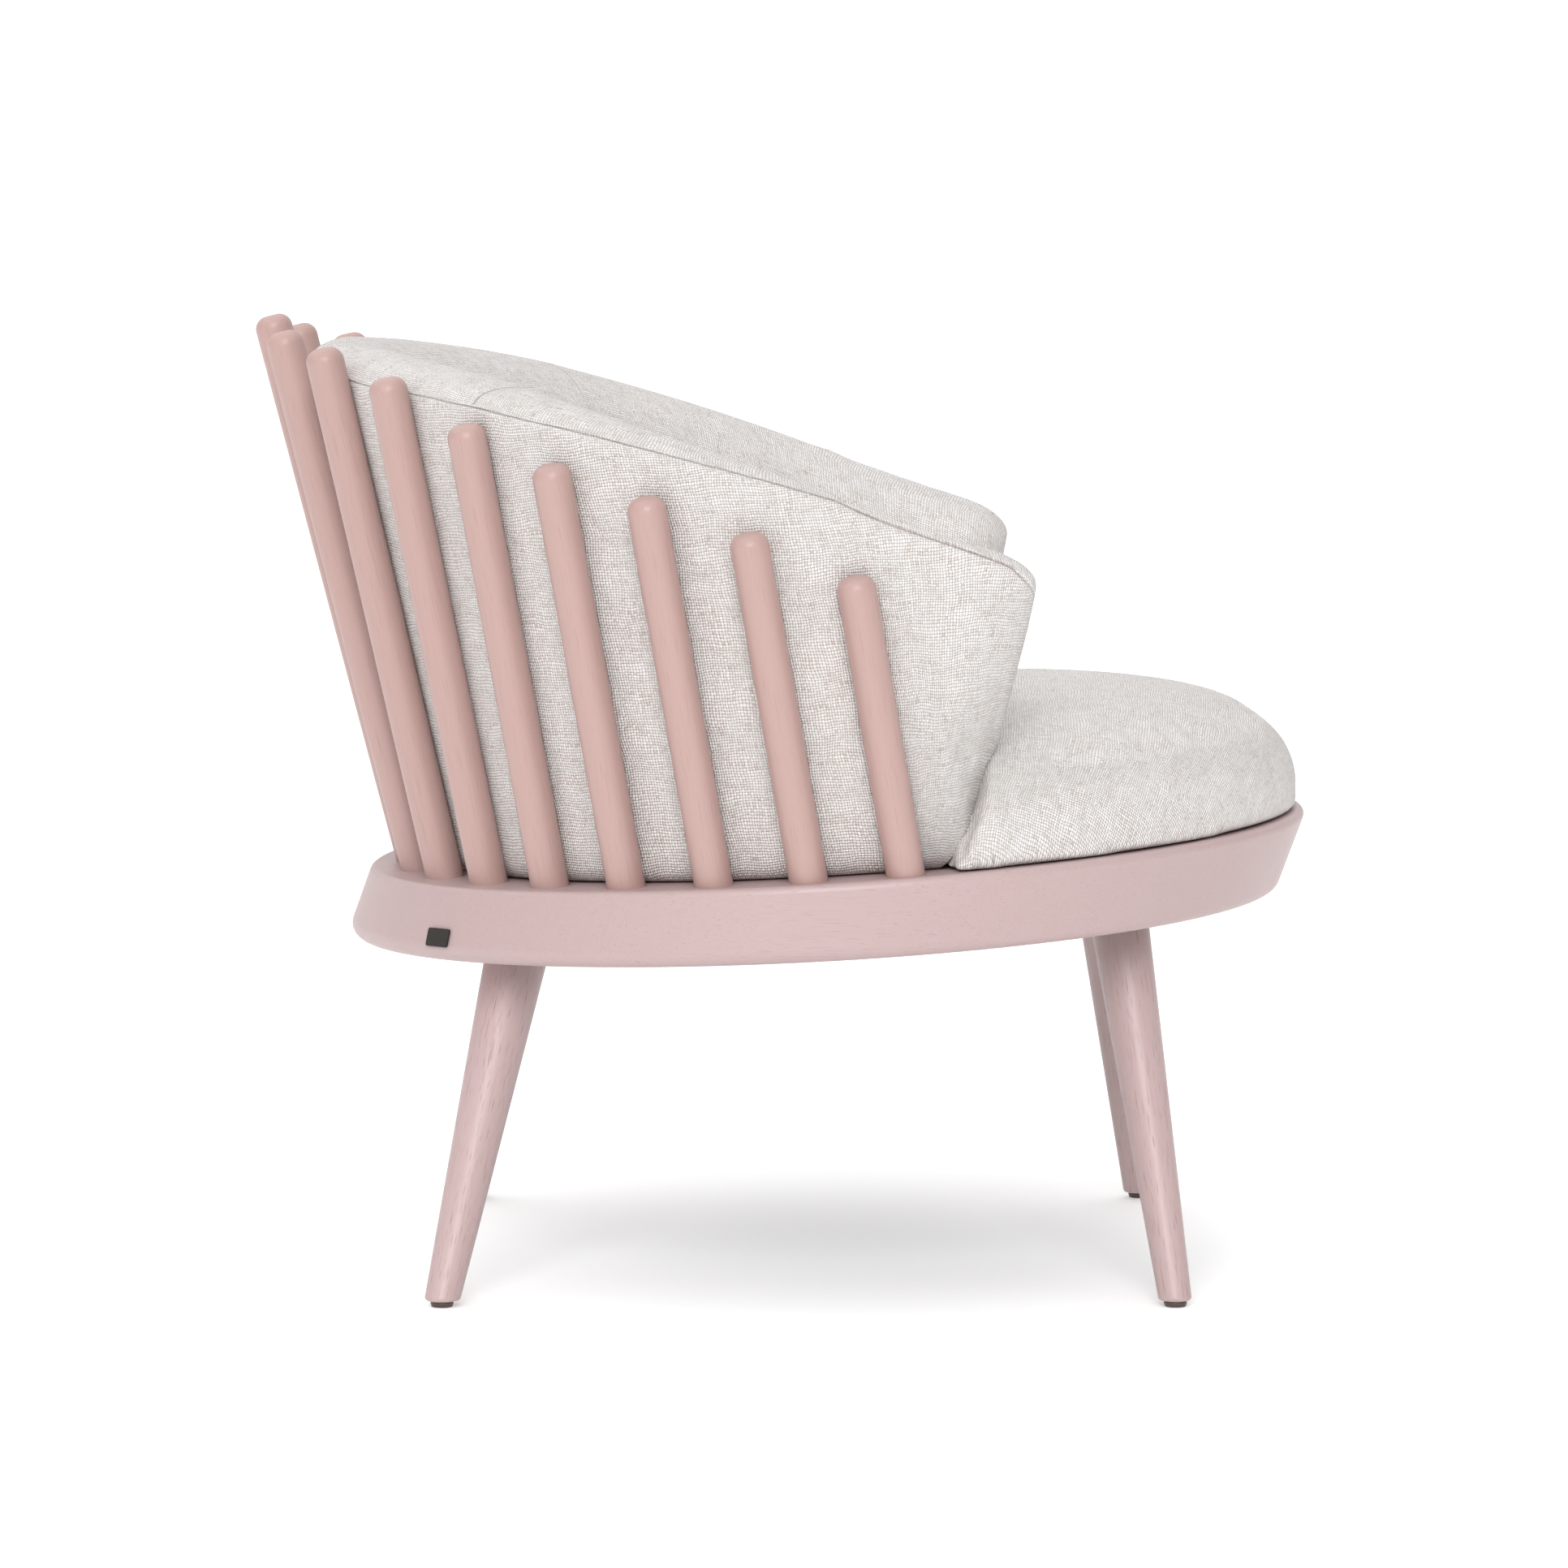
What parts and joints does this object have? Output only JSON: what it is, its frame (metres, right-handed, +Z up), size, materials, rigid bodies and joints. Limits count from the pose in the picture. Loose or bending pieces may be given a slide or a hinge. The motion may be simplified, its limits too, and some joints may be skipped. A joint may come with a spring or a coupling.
{
  "type": "nursery armchair",
  "caption": "Round lounge armchair: a slanted wooden ring on splayed tapered legs, turned spindles around a wrap-around back cushion, and a crowned round seat.",
  "frame": {"origin": "on the floor, under the middle of the whole chair's bounding box", "axes": "+Z up, the sitter faces -Y, +X is the sitter's left"},
  "size_m": [0.764, 0.7918, 0.7131],
  "materials": {
    "pink_lacquered_wood": "satin dusty-pink lacquer over open-pored wood",
    "ivory_woven_fabric": "coarse ivory basket weave with beige and pinkish flecks",
    "brown_glide": "matte dark brown",
    "zinc_steel": "zinc plated",
    "gunmetal_plate": "dark brushed metal, blank",
    "black_nonwoven": "black non-woven dust cover",
    "plain_plywood": "unfinished birch plywood"
  },
  "bodies": {
    "root": {"back_bolts": "zinc_steel", "back_cushion": "ivory_woven_fabric", "back_rail": "plain_plywood", "back_shell": "plain_plywood", "badge_plate": "gunmetal_plate", "base_ring": "pink_lacquered_wood", "board_screws": "zinc_steel", "dust_cover": "black_nonwoven", "front_beam": "plain_plywood", "glide_front_left": "brown_glide", "glide_front_right": "brown_glide", "glide_nails": "zinc_steel", "glide_rear_left": "brown_glide", "glide_rear_right": "brown_glide", "leg_bolts": "zinc_steel", "leg_front_left": "pink_lacquered_wood", "leg_front_right": "pink_lacquered_wood", "leg_inserts": "zinc_steel", "leg_rear_left": "pink_lacquered_wood", "leg_rear_right": "pink_lacquered_wood", "rear_beam": "plain_plywood", "seat_board": "plain_plywood", "seat_cushion": "ivory_woven_fabric", "spindle_01": "pink_lacquered_wood", "spindle_02": "pink_lacquered_wood", "spindle_03": "pink_lacquered_wood", "spindle_04": "pink_lacquered_wood", "spindle_05": "pink_lacquered_wood", "spindle_06": "pink_lacquered_wood", "spindle_07": "pink_lacquered_wood", "spindle_08": "pink_lacquered_wood", "spindle_09": "pink_lacquered_wood", "spindle_10": "pink_lacquered_wood", "spindle_11": "pink_lacquered_wood", "spindle_12": "pink_lacquered_wood", "spindle_13": "pink_lacquered_wood", "spindle_14": "pink_lacquered_wood", "spindle_15": "pink_lacquered_wood", "spindle_16": "pink_lacquered_wood", "spindle_17": "pink_lacquered_wood"}
  },
  "joints": []
}
